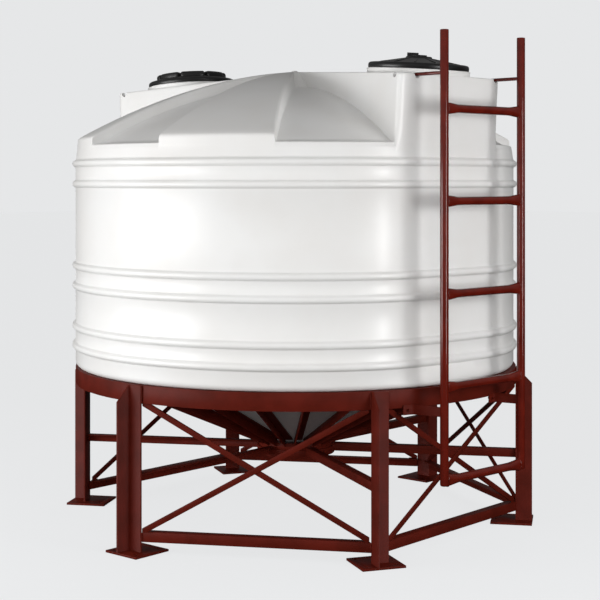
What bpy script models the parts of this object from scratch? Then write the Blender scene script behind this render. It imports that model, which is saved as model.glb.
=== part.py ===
# Cone-bottomed chemical storage tank on a six-legged steel stand, with a fixed ladder.
# Units are metres, +Z is up, and the ladder and the front manhole face -Y.

import math

import bmesh
import bpy
from mathutils import Matrix, Vector

GAP = 0.0003

# White polyethylene shell
WALL_RADIUS = 1.100
WALL_THICKNESS = 0.010
WALL_BOTTOM = 0.780
RIM_HEIGHT = 1.838
RIM_INSET = 0.010
RIB_CENTRES = (0.864, 0.959, 1.157, 1.255, 1.655, 1.7535)
RIB_HALF_HEIGHT = 0.010
RIB_SLOPE = 0.009
RIB_DEPTH = 0.016
PANEL_DISTANCE = 1.049
PANEL_BLEND = 0.020
BOX_HALF_ANGLE = math.radians(19.4)
PANEL_SEARCH_ANGLE = math.radians(45.0)
PANEL_STEPS = 8
SIDE_WALL_STEPS = 10
SHELL_CORNER_RADIUS = 0.018

# Roof
SECTORS_PER_SIDE = 5
STEPS_PER_SECTOR = 4
ROOF_RADII = (0.25, 0.40, 0.55, 0.70, 0.82, 0.94)
DOME_TOP = 2.135
DOME_CURVE = 3.735
DOME_FOOT_RADIUS = 1.052
WEDGE_TOP = 2.217
WEDGE_SLOPE = 0.069
WEDGE_CURVE = 0.230
CROWN_RADIUS = 0.100
BOX_SLOPE = 0.0722
BOX_FLARE = 0.018
BOX_CORNER_RADIUS = 0.045
BOX_CORNER_STEPS = 4
BOX_CHEEK_SHARES = (0.0, 0.18, 0.36, 0.54, 0.72, 0.86)

# Manholes
MANHOLE_DISTANCE = 0.820
NECK_RADIUS = 0.240
NECK_HEIGHT = 0.029
BORE_RADIUS = 0.205
LID_RADIUS = 0.235
MANHOLE_SIDES = 48
SPIGOT_DEPTH = 0.012
SPIGOT_CLEARANCE = 0.004
LID_RIM_TOP = 0.046
LID_SHOULDER = (0.229, 0.052)
FRONT_LID_CONE = ((0.060, 0.082), (0.050, 0.096), (0.0, 0.099))
BACK_LID_DISC = ((0.180, 0.060), (0.171, 0.087), (0.120, 0.092), (0.0, 0.094))

# Cone and outlet
CONE_SEAT_RADIUS = 1.010
CONE_EDGE_INSET = 0.002
CONE_SLOPE = 0.430
OUTLET_RADIUS = 0.060
OUTLET_BORE = 0.045
OUTLET_BOTTOM = 0.302
CONE_APEX_HEIGHT = 0.345

# Stand
STAND_TURN = math.radians(4.8)
RING_TOP = 0.754
RING_SIZE = 0.080
RING_THICKNESS = 0.008
LEG_SIZE = 0.080
LEG_THICKNESS = 0.008
LEG_HEEL_OFFSET = -0.030
LEG_TOP_CUT = 0.074
BAY_END_INSET = 0.003
FOOT_SIZE = 0.200
FOOT_THICKNESS = 0.010
FOOT_DISTANCE = 1.082
TIE_BOTTOM = 0.055
TIE_SIZE = 0.045
TIE_THICKNESS = 0.005
BRACE_WIDTH = 0.026
BRACE_THICKNESS = 0.006
BRACE_TOP_CLEARANCE = 0.002
BRACE_HEEL_CLEARANCE = 0.010
FRONT_BRACE_OFFSET = 0.040
REAR_BRACE_OFFSET = 0.030
BEAM_BOTTOM = 0.312
BEAM_SIZE = 0.040
BEAM_THICKNESS = 0.004
SPOKE_COUNT = 24
HUB_BORE = 0.130
HUB_BOTTOM = 0.302
HUB_TOP = 0.338
BEAM_HUB_WIDTH = 0.065
CRADLE_HUB_WIDTH = 0.055
HUB_SIDES = 48
BEAM_SIDE_SHIFT = 0.010
CRADLE_SPOKE_LAP = 0.010
CONE_CLEARANCE = 0.0015

# Ladder
LADDER_DISTANCE = 1.206
LADDER_WIDTH = 0.5415
RAIL_DIAMETER = 0.038
RAIL_BOTTOM = 0.345
RAIL_TOP = 2.323
RUNG_DIAMETER = 0.033
TOP_RUNG_HEIGHT = 1.982
RUNG_SPACING = 0.4035
RUNG_COUNT = 5
RAIL_SIDES = 16
RUNG_SIDES = 14
HOOK_SIDES = 12
HOOK_DIAMETER = 0.014
HOOK_HEIGHT = 2.118
HOOK_FLARE_SHARE = 0.95
BRACKET_HEIGHT = 0.040
BRACKET_THICKNESS = 0.006
BRACKET_INNER_END = 1.000
BRACKET_PLATE_WIDTH = 0.050


def clear_scene():
    for item in list(bpy.data.objects):
        bpy.data.objects.remove(item, do_unlink=True)


def material(name, colour, roughness, metallic=0.0):
    made = bpy.data.materials.new(name)
    made.use_nodes = True
    shader = made.node_tree.nodes["Principled BSDF"]
    shader.inputs["Base Color"].default_value = (*colour, 1.0)
    shader.inputs["Roughness"].default_value = roughness
    shader.inputs["Metallic"].default_value = metallic
    return made


def add_object(name, mesh_data, finish, smooth_angle=30.0):
    bmesh.ops.remove_doubles(mesh_data, verts=mesh_data.verts, dist=0.00002)
    bmesh.ops.recalc_face_normals(mesh_data, faces=mesh_data.faces)
    mesh = bpy.data.meshes.new(name)
    mesh_data.to_mesh(mesh)
    mesh_data.free()
    mesh.shade_smooth()
    mesh.set_sharp_from_angle(angle=math.radians(smooth_angle))
    mesh.materials.append(finish)
    made = bpy.data.objects.new(name, mesh)
    bpy.context.scene.collection.objects.link(made)
    return made


def boolean(target, tool, operation):
    modifier = target.modifiers.new(operation.lower(), "BOOLEAN")
    modifier.operation = operation
    modifier.object = tool
    tool.hide_render = True
    tool.display_type = "WIRE"


def polar(radius, angle, height):
    return Vector((radius * math.cos(angle), radius * math.sin(angle), height))


def turned(profile, steps):
    """Closed solid from a profile of (radius, height) points; a radius of 0 is a pole."""
    shape = bmesh.new()
    columns = []
    for step in range(steps):
        angle = 2.0 * math.pi * step / steps
        columns.append([shape.verts.new(polar(r, angle, z)) if r > 0.0 else None for r, z in profile])
    poles = [shape.verts.new((0.0, 0.0, z)) if r == 0.0 else None for r, z in profile]
    count = len(profile)
    for step in range(steps):
        here = columns[step]
        after = columns[(step + 1) % steps]
        for index in range(count):
            follow = (index + 1) % count
            corners = [here[index] or poles[index], after[index] or poles[index],
                       after[follow] or poles[follow], here[follow] or poles[follow]]
            unique = list(dict.fromkeys(corners))
            if len(unique) > 2:
                shape.faces.new(unique)
    return shape


def extruded(outline, direction):
    """Closed prism: a flat outline of 3-D points, carried along a direction."""
    shape = bmesh.new()
    base = [shape.verts.new(point) for point in outline]
    top = [shape.verts.new(Vector(point) + Vector(direction)) for point in outline]
    shape.faces.new(base)
    shape.faces.new(top)
    for index in range(len(base)):
        follow = (index + 1) % len(base)
        shape.faces.new((base[index], base[follow], top[follow], top[index]))
    return shape


def cut(shape, point, normal):
    """Cuts off what lies on the normal's side of a plane and closes the cut."""
    geometry = list(shape.verts) + list(shape.edges) + list(shape.faces)
    bmesh.ops.bisect_plane(shape, geom=geometry, dist=0.000001, plane_co=point, plane_no=normal,
                           clear_outer=True)
    open_edges = [edge for edge in shape.edges if edge.is_boundary]
    if open_edges:
        bmesh.ops.holes_fill(shape, edges=open_edges)


def joined(shapes):
    """One bmesh that holds several separate solids."""
    whole = bmesh.new()
    for shape in shapes:
        mesh = bpy.data.meshes.new("piece")
        bmesh.ops.recalc_face_normals(shape, faces=shape.faces)
        shape.to_mesh(mesh)
        shape.free()
        whole.from_mesh(mesh)
        bpy.data.meshes.remove(mesh)
    return whole


def smooth_min(first, second, width):
    overlap = max(width - abs(first - second), 0.0) / width
    return min(first, second) - overlap * overlap * width / 4.0


def wall_radius(from_front):
    """Radius of the wall by the angle from the nearer manhole: a circle with a flat panel."""
    if abs(from_front) > PANEL_SEARCH_ANGLE:
        return WALL_RADIUS
    flat = PANEL_DISTANCE / math.cos(from_front)
    return smooth_min(WALL_RADIUS, flat, PANEL_BLEND)


def rib_profile(top_inset):
    points = [(0.0, WALL_BOTTOM + GAP)]
    for centre in RIB_CENTRES:
        points.append((0.0, centre - RIB_HALF_HEIGHT - RIB_SLOPE))
        points.append((RIB_DEPTH, centre - RIB_HALF_HEIGHT))
        points.append((RIB_DEPTH, centre + RIB_HALF_HEIGHT))
        points.append((0.0, centre + RIB_HALF_HEIGHT + RIB_SLOPE))
    points.append((-top_inset, RIM_HEIGHT - WALL_THICKNESS - GAP))
    return points


def wall_segment(name, start, end, steps, top_inset, finish):
    """Curved wall from one angle to another, with angles measured from the front manhole."""
    outer = rib_profile(top_inset)
    inner = [(-top_inset - WALL_THICKNESS, outer[-1][1]),
             (-WALL_THICKNESS, outer[-2][1]),
             (-WALL_THICKNESS, outer[0][1])]
    profile = outer + inner
    shape = bmesh.new()
    columns = []
    for step in range(steps + 1):
        turn = start + (end - start) * step / steps
        nearest = min((turn, turn - math.pi, turn + math.pi), key=abs)
        radius = wall_radius(nearest)
        angle = turn - math.pi / 2.0
        columns.append([shape.verts.new(polar(radius + out, angle, z)) for out, z in profile])
    for left, right in zip(columns, columns[1:]):
        for index in range(len(profile)):
            follow = (index + 1) % len(profile)
            shape.faces.new((left[index], right[index], right[follow], left[follow]))
    shape.faces.new(columns[0])
    shape.faces.new(columns[-1])
    return add_object(name, shape, finish)


def make_walls(finish):
    edge = GAP / (2.0 * WALL_RADIUS)
    panel = BOX_HALF_ANGLE - edge
    start = BOX_HALF_ANGLE + edge
    middle = math.pi / 2.0 - edge
    steps = PANEL_STEPS
    side_steps = SIDE_WALL_STEPS
    wall_segment("wall_panel_front", -panel, panel, steps, 0.0, finish)
    wall_segment("wall_panel_back", math.pi - panel, math.pi + panel, steps, 0.0, finish)
    wall_segment("wall_right_front", start, middle, side_steps, RIM_INSET, finish)
    wall_segment("wall_right_back", math.pi - middle, math.pi - start, side_steps, RIM_INSET, finish)
    wall_segment("wall_left_back", math.pi + start, math.pi + middle, side_steps, RIM_INSET, finish)
    wall_segment("wall_left_front", -middle, -start, side_steps, RIM_INSET, finish)


def dome_height(radius):
    if radius >= DOME_FOOT_RADIUS:
        return RIM_HEIGHT
    return DOME_TOP - radius * radius / DOME_CURVE


def wedge_height(radius):
    return WEDGE_TOP - WEDGE_SLOPE * radius - WEDGE_CURVE * radius * radius


def roof_side(name, side, finish):
    """Half of the roof between the manhole boxes: recessed dome sectors and raised wedges."""
    radii = (CROWN_RADIUS + GAP,) + ROOF_RADII + (DOME_FOOT_RADIUS, WALL_RADIUS - RIM_INSET)
    edge = BOX_HALF_ANGLE + 2.0 * GAP / CROWN_RADIUS
    sector = (math.pi - 2.0 * edge) / SECTORS_PER_SIDE
    shape = bmesh.new()
    bottom = []
    tops = []
    steps = STEPS_PER_SECTOR
    for column in range(SECTORS_PER_SIDE * steps + 1):
        angle = side * (edge + sector * column / steps) - math.pi / 2.0
        bottom.append([shape.verts.new(polar(r, angle, dome_height(r) - WALL_THICKNESS)) for r in radii])
    for number in range(SECTORS_PER_SIDE):
        height = wedge_height if number % 2 else dome_height
        columns = []
        for step in range(steps + 1):
            angle = side * (edge + sector * (number + step / steps)) - math.pi / 2.0
            columns.append([shape.verts.new(polar(r, angle, height(r))) for r in radii])
        tops.append(columns)
    last = len(radii) - 1
    for left, right in zip(bottom, bottom[1:]):
        for ring in range(last):
            shape.faces.new((left[ring], left[ring + 1], right[ring + 1], right[ring]))
    for number, columns in enumerate(tops):
        raised = number % 2 == 1
        for step in range(steps):
            left = columns[step]
            right = columns[step + 1]
            for ring in range(last):
                shape.faces.new((left[ring], left[ring + 1], right[ring + 1], right[ring]))
            under_left = bottom[number * steps + step]
            under_right = bottom[number * steps + step + 1]
            for ring in (0, last):
                corners = [under_left[ring], under_right[ring]]
                if raised and step == steps - 1:
                    corners.append(tops[number + 1][0][ring])
                corners += [right[ring], left[ring]]
                if raised and step == 0:
                    corners.append(tops[number - 1][steps][ring])
                shape.faces.new(corners)
        if number:
            before = tops[number - 1][steps]
            here = columns[0]
            for ring in range(last):
                shape.faces.new((before[ring], before[ring + 1], here[ring + 1], here[ring]))
    for top, under in ((tops[0][0], bottom[0]), (tops[-1][steps], bottom[-1])):
        for ring in range(last):
            shape.faces.new((top[ring], top[ring + 1], under[ring + 1], under[ring]))
    return add_object(name, shape, finish)


def box_outline(inset, flare):
    """Plan of a manhole box facing -Y: radial cheeks, a flat end and rounded outer corners."""
    near = CROWN_RADIUS + GAP + inset
    far = PANEL_DISTANCE + flare - inset
    half = BOX_HALF_ANGLE
    shift = inset / math.cos(half)
    corner = BOX_CORNER_RADIUS - inset
    tangent = math.tan(half)

    def cheek_x(distance):
        return distance * tangent - shift

    points = []
    along = [near + (far - near) * share for share in BOX_CHEEK_SHARES]
    points += [Vector((cheek_x(distance), -distance)) for distance in along]
    sharp = Vector((cheek_x(far), -far))
    reach = corner / math.tan((math.pi / 2.0 - half) / 2.0)
    cheek_direction = Vector((-math.sin(half), math.cos(half)))
    centre = sharp + cheek_direction * reach + Vector((-math.cos(half), -math.sin(half))) * corner
    for step in range(BOX_CORNER_STEPS + 1):
        angle = half - (math.pi / 2.0 + half) * step / BOX_CORNER_STEPS
        points.append(centre + corner * Vector((math.cos(angle), math.sin(angle))))
    mirrored = [Vector((-point.x, point.y)) for point in reversed(points)]
    return points + mirrored


def box_top_height(distance):
    return WEDGE_TOP - BOX_SLOPE * distance


def turn_matrix(back):
    return Matrix.Rotation(math.pi if back else 0.0, 4, "Z")


def manhole_box(name, back, finish):
    """Tube of the box's four walls, from the dome up to the underside of its top."""
    shape = bmesh.new()
    loops = []
    for inset in (0.0, WALL_THICKNESS):
        low = box_outline(inset + GAP, 0.0)
        high = box_outline(inset + GAP, BOX_FLARE)
        low_loop = []
        high_loop = []
        for low_point, high_point in zip(low, high):
            radius = low_point.length
            floor = dome_height(radius) - WALL_THICKNESS
            ceiling = box_top_height(-high_point.y) - WALL_THICKNESS
            low_loop.append(shape.verts.new((low_point.x, low_point.y, floor)))
            high_loop.append(shape.verts.new((high_point.x, high_point.y, ceiling)))
        loops += [low_loop, high_loop]
    outer_low, outer_high, inner_low, inner_high = loops
    count = len(outer_low)
    for index in range(count):
        follow = (index + 1) % count
        for lower, upper in ((outer_low, outer_high), (outer_high, inner_high),
                             (inner_high, inner_low), (inner_low, outer_low)):
            shape.faces.new((lower[index], lower[follow], upper[follow], upper[index]))
    bmesh.ops.transform(shape, matrix=turn_matrix(back), verts=shape.verts)
    return add_object(name, shape, finish)


def tilt_to_top(back):
    """Frame on the sloping top of a box, at the manhole's centre."""
    place = Matrix.Translation((0.0, -MANHOLE_DISTANCE, box_top_height(MANHOLE_DISTANCE)))
    lean = Matrix.Rotation(math.atan(BOX_SLOPE), 4, "X")
    return turn_matrix(back) @ place @ lean


def manhole_top(name, back, finish):
    """Sloping top of a box with the round neck of its manhole, open right through."""
    outline = box_outline(GAP, BOX_FLARE)
    under = [(point.x, point.y, box_top_height(-point.y) - WALL_THICKNESS + GAP) for point in outline]
    plate = extruded(under, (0.0, 0.0, WALL_THICKNESS - GAP))
    bmesh.ops.transform(plate, matrix=turn_matrix(back), verts=plate.verts)
    top = add_object(name, plate, finish)
    sunk = -WALL_THICKNESS / 2.0
    past = 2.0 * NECK_HEIGHT
    neck = turned([(0.0, sunk), (NECK_RADIUS, sunk), (NECK_RADIUS, NECK_HEIGHT), (0.0, NECK_HEIGHT)],
                  MANHOLE_SIDES)
    bore = turned([(0.0, -past), (BORE_RADIUS, -past), (BORE_RADIUS, past), (0.0, past)], MANHOLE_SIDES)
    for label, shape, operation in (("neck", neck, "UNION"), ("bore", bore, "DIFFERENCE")):
        bmesh.ops.transform(shape, matrix=tilt_to_top(back), verts=shape.verts)
        tool = add_object(name + "_" + label + "_cutter", shape, finish)
        boolean(top, tool, operation)
    return top


def manhole_lid(name, back, profile, finish):
    """Screw lid on its neck, with a short spigot inside the bore."""
    seat = NECK_HEIGHT + GAP
    spigot = BORE_RADIUS - SPIGOT_CLEARANCE
    low = seat - SPIGOT_DEPTH
    base = [(0.0, low), (spigot, low), (spigot, seat), (LID_RADIUS, seat), (LID_RADIUS, LID_RIM_TOP),
            LID_SHOULDER]
    shape = turned(base + list(profile), MANHOLE_SIDES)
    bmesh.ops.transform(shape, matrix=tilt_to_top(back), verts=shape.verts)
    return add_object(name, shape, finish)


def make_manholes(shell_finish, lid_finish):
    for side, back, profile in (("front", False, FRONT_LID_CONE), ("back", True, BACK_LID_DISC)):
        manhole_box("manhole_box_" + side, back, shell_finish)
        manhole_top("manhole_top_" + side, back, shell_finish)
        manhole_lid("manhole_lid_" + side, back, profile, lid_finish)


def make_crown(finish):
    """Middle of the roof, where the wedges and both boxes meet."""
    inner = CROWN_RADIUS
    shape = turned([(0.0, dome_height(0.0) - WALL_THICKNESS), (inner, dome_height(inner) - WALL_THICKNESS),
                    (inner, wedge_height(inner)), (0.0, WEDGE_TOP)], 40)
    return add_object("roof_crown", shape, finish)


def cone_height(radius):
    return CONE_APEX_HEIGHT + CONE_SLOPE * (radius - OUTLET_RADIUS)


def make_cone(finish):
    """Cone under the tank with its flat seat, its rounded corner and the outlet spigot."""
    seat = RING_TOP + GAP
    outer = WALL_RADIUS - CONE_EDGE_INSET
    corner = SHELL_CORNER_RADIUS
    seat_edge = outer - corner
    thick = WALL_THICKNESS
    profile = [
        (OUTLET_BORE, OUTLET_BOTTOM),
        (OUTLET_RADIUS, OUTLET_BOTTOM),
        (OUTLET_RADIUS, CONE_APEX_HEIGHT),
        (CONE_SEAT_RADIUS, seat),
        (seat_edge, seat),
        (outer - corner * 0.29, seat + corner * 0.29),
        (outer, seat + corner),
        (outer, WALL_BOTTOM),
        (outer - thick, WALL_BOTTOM),
        (seat_edge - thick * 0.6, seat + thick),
        (CONE_SEAT_RADIUS, seat + thick),
        (OUTLET_BORE, CONE_APEX_HEIGHT + thick * 0.6),
    ]
    return add_object("cone_bottom", turned(profile, 60), finish)


def make_ring(finish):
    """Rolled angle: one flange stands outside, the other carries the tank."""
    low = RING_TOP - RING_SIZE
    outer = WALL_RADIUS
    profile = [
        (outer - RING_THICKNESS, low),
        (outer, low),
        (outer, RING_TOP),
        (outer - RING_SIZE, RING_TOP),
        (outer - RING_SIZE, RING_TOP - RING_THICKNESS),
        (outer - RING_THICKNESS, RING_TOP - RING_THICKNESS),
    ]
    return add_object("ring_beam", turned(profile, 72), finish)


LEG_NAMES = ("front_right", "right", "back_right", "back_left", "left", "front_left")
LEG_ANGLES = tuple(math.radians(-60.0 + 60.0 * number) + STAND_TURN for number in range(6))


def leg_axes(number):
    angle = LEG_ANGLES[number]
    outward = Vector((math.cos(angle), math.sin(angle), 0.0))
    along = Vector((-math.sin(angle), math.cos(angle), 0.0))
    return outward, along


def leg_point(number, distance, offset, height):
    outward, along = leg_axes(number)
    return outward * distance + along * offset + Vector((0.0, 0.0, height))


def make_leg(number, finish):
    """Angle-iron leg, heel clockwise, on its square foot plate."""
    inner = WALL_RADIUS + GAP
    heel = LEG_HEEL_OFFSET
    size = LEG_SIZE
    thick = LEG_THICKNESS
    base = FOOT_THICKNESS * 0.9
    plan = [(inner, heel), (inner + size, heel), (inner + size, heel + thick), (inner + thick, heel + thick),
            (inner + thick, heel + size), (inner, heel + size)]
    outline = [leg_point(number, distance, offset, base) for distance, offset in plan]
    shape = extruded(outline, (0.0, 0.0, RING_TOP - base))
    outward, along = leg_axes(number)
    slope = (outward * LEG_TOP_CUT + Vector((0.0, 0.0, size - thick))).normalized()
    cut(shape, leg_point(number, inner + thick, 0.0, RING_TOP), slope)
    leg = add_object("leg_" + LEG_NAMES[number], shape, finish)
    half = FOOT_SIZE / 2.0
    corners = [(-half, -half), (half, -half), (half, half), (-half, half)]
    plate_outline = [leg_point(number, FOOT_DISTANCE + a, b, 0.0) for a, b in corners]
    plate = add_object("foot_" + LEG_NAMES[number] + "_cutter",
                       extruded(plate_outline, (0.0, 0.0, FOOT_THICKNESS)), finish)
    boolean(leg, plate, "UNION")
    return leg


def bay_ends(number):
    """Line of a bay's ties and braces, from one leg's free edge to the next leg's heel."""
    inner = WALL_RADIUS + GAP
    free_edge = LEG_HEEL_OFFSET + LEG_SIZE
    start = leg_point(number, inner - 0.5 * GAP, free_edge, 0.0)
    end = leg_point((number + 1) % 6, inner + BAY_END_INSET, LEG_HEEL_OFFSET - GAP, 0.0)
    return start, end


def make_tie(number, finish):
    start, end = bay_ends(number)
    direction = (end - start).normalized()
    inward = Vector((-direction.y, direction.x, 0.0))
    size = TIE_SIZE
    thick = TIE_THICKNESS
    top = TIE_BOTTOM + size
    section = [(0.0, TIE_BOTTOM), (0.0, top), (size, top), (size, top - thick), (thick, top - thick),
               (thick, TIE_BOTTOM)]
    over = LEG_SIZE
    origin = start - direction * over
    outline = [origin + inward * depth + Vector((0.0, 0.0, z)) for depth, z in section]
    shape = extruded(outline, direction * ((end - start).length + 2.0 * over))
    cut(shape, start + direction * GAP, -direction)
    outward, along = leg_axes((number + 1) % 6)
    cut(shape, end, along)
    return add_object("tie_" + LEG_NAMES[number], shape, finish)


def brace_bar(start, end, top_offset, from_far_end, depth):
    """Flat bar of a cross brace, from a leg's top down to the other leg's foot."""
    direction = (end - start).normalized()
    inward = Vector((-direction.y, direction.x, 0.0))
    up = Vector((0.0, 0.0, 1.0))
    length = (end - start).length
    bottom = TIE_BOTTOM + TIE_SIZE + GAP
    top = RING_TOP - RING_SIZE - BRACE_TOP_CLEARANCE
    high = Vector((top_offset, top - BRACE_WIDTH / 2.0))
    low = Vector((length, bottom))
    if from_far_end:
        high.x = length - high.x
        low.x = 0.0
    run = (low - high).normalized()
    side = Vector((-run.y, run.x)) * BRACE_WIDTH / 2.0
    over = run * 2.0 * BRACE_WIDTH
    flat = [high - over + side, low + over + side, low + over - side, high - over - side]
    outline = [start + direction * point.x + up * point.y + inward * depth for point in flat]
    shape = extruded(outline, inward * BRACE_THICKNESS)
    cut(shape, start + up * bottom, -up)
    cut(shape, start + up * top, up)
    cut(shape, start + direction * GAP * 2.0, -direction)
    cut(shape, end - direction * BRACE_HEEL_CLEARANCE, direction)
    return shape


def make_brace(number, finish):
    """Cross of two flat bars that lap and are welded where they meet."""
    start, end = bay_ends(number)
    front = brace_bar(start, end, FRONT_BRACE_OFFSET, True, 0.0)
    add_object("brace_" + LEG_NAMES[number] + "_outer", front, finish)
    behind = brace_bar(start, end, REAR_BRACE_OFFSET, False, BRACE_THICKNESS + GAP)
    add_object("brace_" + LEG_NAMES[number] + "_inner", behind, finish)


def make_beams(finish):
    """Six level angle bars from the legs to a ring under the cone's outlet."""
    outer = HUB_BORE + BEAM_HUB_WIDTH
    profile = [(HUB_BORE, HUB_BOTTOM), (outer, HUB_BOTTOM), (outer, HUB_TOP), (HUB_BORE, HUB_TOP)]
    hub = add_object("star_beams", turned(profile, HUB_SIDES), finish)
    arms = []
    start = outer - BEAM_BOTTOM + HUB_BOTTOM
    end = WALL_RADIUS
    size = BEAM_SIZE
    thick = BEAM_THICKNESS
    top = BEAM_BOTTOM + size
    for number in range(6):
        section = [(0.0, BEAM_BOTTOM), (0.0, top), (size, top), (size, top - thick), (thick, top - thick),
                   (thick, BEAM_BOTTOM)]
        shift = BEAM_SIDE_SHIFT - size / 2.0
        outline = [leg_point(number, start, offset + shift, z) for offset, z in section]
        outward = leg_axes(number)[0]
        arms.append(extruded(outline, outward * (end - start)))
    tool = add_object("star_arms_cutter", joined(arms), finish)
    boolean(hub, tool, "UNION")
    return hub


def make_cradle(finish):
    """Angle-iron spokes that run down under the cone from the ring beam to a small ring."""
    outer = HUB_BORE + CRADLE_HUB_WIDTH
    high = cone_height(HUB_BORE) - 2.0 * CONE_CLEARANCE
    low = HUB_TOP + GAP
    profile = [(HUB_BORE, low), (outer, low), (outer, high), (HUB_BORE, high)]
    hub = add_object("cone_cradle", turned(profile, HUB_SIDES), finish)
    slope = math.atan(CONE_SLOPE)
    size = BEAM_SIZE
    thick = BEAM_THICKNESS
    inner_end = outer - CRADLE_SPOKE_LAP
    outer_end = WALL_RADIUS - RING_THICKNESS * 1.5
    spokes = []
    for number in range(SPOKE_COUNT):
        angle = STAND_TURN + 2.0 * math.pi * number / SPOKE_COUNT
        outward = Vector((math.cos(angle), math.sin(angle), 0.0))
        along = Vector((-math.sin(angle), math.cos(angle), 0.0))
        up = Vector((0.0, 0.0, 1.0))
        run = outward * math.cos(slope) + up * math.sin(slope)
        normal = up * math.cos(slope) - outward * math.sin(slope)
        origin = outward * HUB_BORE + up * (cone_height(HUB_BORE) - CONE_CLEARANCE)
        section = [(-size / 2.0, 0.0), (size / 2.0, 0.0), (size / 2.0, -thick), (-size / 2.0 + thick, -thick),
                   (-size / 2.0 + thick, -size), (-size / 2.0, -size)]
        outline = [origin + along * a + normal * b for a, b in section]
        shape = extruded(outline, run * WALL_RADIUS)
        cut(shape, outward * inner_end, -outward)
        cut(shape, outward * outer_end, outward)
        cut(shape, up * (RING_TOP - RING_THICKNESS - GAP), up)
        spokes.append(shape)
    tool = add_object("cradle_spokes_cutter", joined(spokes), finish)
    boolean(hub, tool, "UNION")
    return hub


def tube(start, end, radius, sides):
    """Solid round bar between two points."""
    direction = end - start
    shape = turned([(0.0, 0.0), (radius, 0.0), (radius, direction.length), (0.0, direction.length)], sides)
    turn = Vector((0.0, 0.0, 1.0)).rotation_difference(direction).to_matrix().to_4x4()
    bmesh.ops.transform(shape, matrix=Matrix.Translation(start) @ turn, verts=shape.verts)
    return shape


def make_ladder(finish):
    half = LADDER_WIDTH / 2.0
    radius = RAIL_DIAMETER / 2.0
    for side, name in ((-1.0, "left"), (1.0, "right")):
        x = side * half
        rail = tube(Vector((x, -LADDER_DISTANCE, RAIL_BOTTOM)), Vector((x, -LADDER_DISTANCE, RAIL_TOP)),
                    radius, RAIL_SIDES)
        add_object("ladder_rail_" + name, rail, finish)
        wall_side = -LADDER_DISTANCE + radius + GAP
        box_face = -(PANEL_DISTANCE + BOX_FLARE * HOOK_FLARE_SHARE) - 3.0 * GAP
        hook = tube(Vector((x, wall_side, HOOK_HEIGHT)), Vector((x, box_face, HOOK_HEIGHT)),
                    HOOK_DIAMETER / 2.0, HOOK_SIDES)
        add_object("ladder_hook_" + name, hook, finish)
        make_bracket(name, x, wall_side, finish)
    for number in range(RUNG_COUNT):
        height = TOP_RUNG_HEIGHT - number * RUNG_SPACING
        reach = half - radius - GAP
        rung = tube(Vector((-reach, -LADDER_DISTANCE, height)), Vector((reach, -LADDER_DISTANCE, height)),
                    RUNG_DIAMETER / 2.0, RUNG_SIDES)
        add_object("ladder_rung_" + str(number + 1), rung, finish)


def make_bracket(name, x, outer_end, finish):
    """Flat bar under the ring beam that holds a rail, with a small end plate."""
    top = RING_TOP - RING_SIZE - GAP
    low = top - BRACKET_HEIGHT
    half = BRACKET_THICKNESS / 2.0
    plate = BRACKET_PLATE_WIDTH / 2.0
    inner = -BRACKET_INNER_END
    face = inner - BRACKET_THICKNESS
    plan = [(x - half, outer_end), (x + half, outer_end), (x + half, face), (x + plate, face),
            (x + plate, inner), (x - plate, inner), (x - plate, face), (x - half, face)]
    outline = [(a, b, low) for a, b in plan]
    return add_object("ladder_bracket_" + name, extruded(outline, (0.0, 0.0, top - low)), finish)


def centre_footprint():
    """Sets the origin at the middle of the whole part's footprint, at ground level."""
    bpy.context.view_layer.update()
    low = [1e9, 1e9]
    high = [-1e9, -1e9]
    for item in bpy.data.objects:
        if item.hide_render:
            continue
        for corner in item.bound_box:
            for axis in (0, 1):
                low[axis] = min(low[axis], corner[axis])
                high[axis] = max(high[axis], corner[axis])
    shift = Vector((-(low[0] + high[0]) / 2.0, -(low[1] + high[1]) / 2.0, 0.0))
    for item in bpy.data.objects:
        item.location = shift


def main():
    clear_scene()
    shell = material("white_polyethylene", (0.80, 0.79, 0.78), 0.45)
    lid = material("black_polyethylene", (0.010, 0.010, 0.011), 0.40)
    steel = material("red_oxide_steel", (0.085, 0.012, 0.008), 0.50)
    make_cone(shell)
    make_walls(shell)
    roof_side("roof_right", 1.0, shell)
    roof_side("roof_left", -1.0, shell)
    make_crown(shell)
    make_manholes(shell, lid)
    make_ring(steel)
    for number in range(6):
        make_leg(number, steel)
    open_bay = LEG_NAMES.index("back_left")
    for number in range(6):
        if number != open_bay:
            make_tie(number, steel)
            make_brace(number, steel)
    make_beams(steel)
    make_cradle(steel)
    make_ladder(steel)
    centre_footprint()


main()
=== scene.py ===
# Cone-bottomed chemical storage tank on a steel stand: the looks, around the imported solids.
# Metres, +Z up. The ladder and the front manhole face -Y, as in the solids.

import math

import bmesh
import bpy
from mathutils import Matrix, Vector


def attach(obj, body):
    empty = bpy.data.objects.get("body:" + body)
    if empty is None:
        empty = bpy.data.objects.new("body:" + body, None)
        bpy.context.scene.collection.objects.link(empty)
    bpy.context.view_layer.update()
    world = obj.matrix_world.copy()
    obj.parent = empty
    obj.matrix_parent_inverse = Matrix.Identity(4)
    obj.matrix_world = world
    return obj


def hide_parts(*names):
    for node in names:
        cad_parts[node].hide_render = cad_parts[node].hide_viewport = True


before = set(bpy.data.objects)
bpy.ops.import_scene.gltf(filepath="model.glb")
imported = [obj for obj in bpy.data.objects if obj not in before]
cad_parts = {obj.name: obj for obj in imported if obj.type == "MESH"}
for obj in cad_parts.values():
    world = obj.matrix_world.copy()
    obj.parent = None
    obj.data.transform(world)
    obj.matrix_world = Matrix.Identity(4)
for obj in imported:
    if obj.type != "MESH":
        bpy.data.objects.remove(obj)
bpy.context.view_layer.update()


# The camera stands at eye height, level, square to nothing: it looks at the tank from the left
# of its ladder through a long lens, and is shifted down so that the verticals stay upright.

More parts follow.
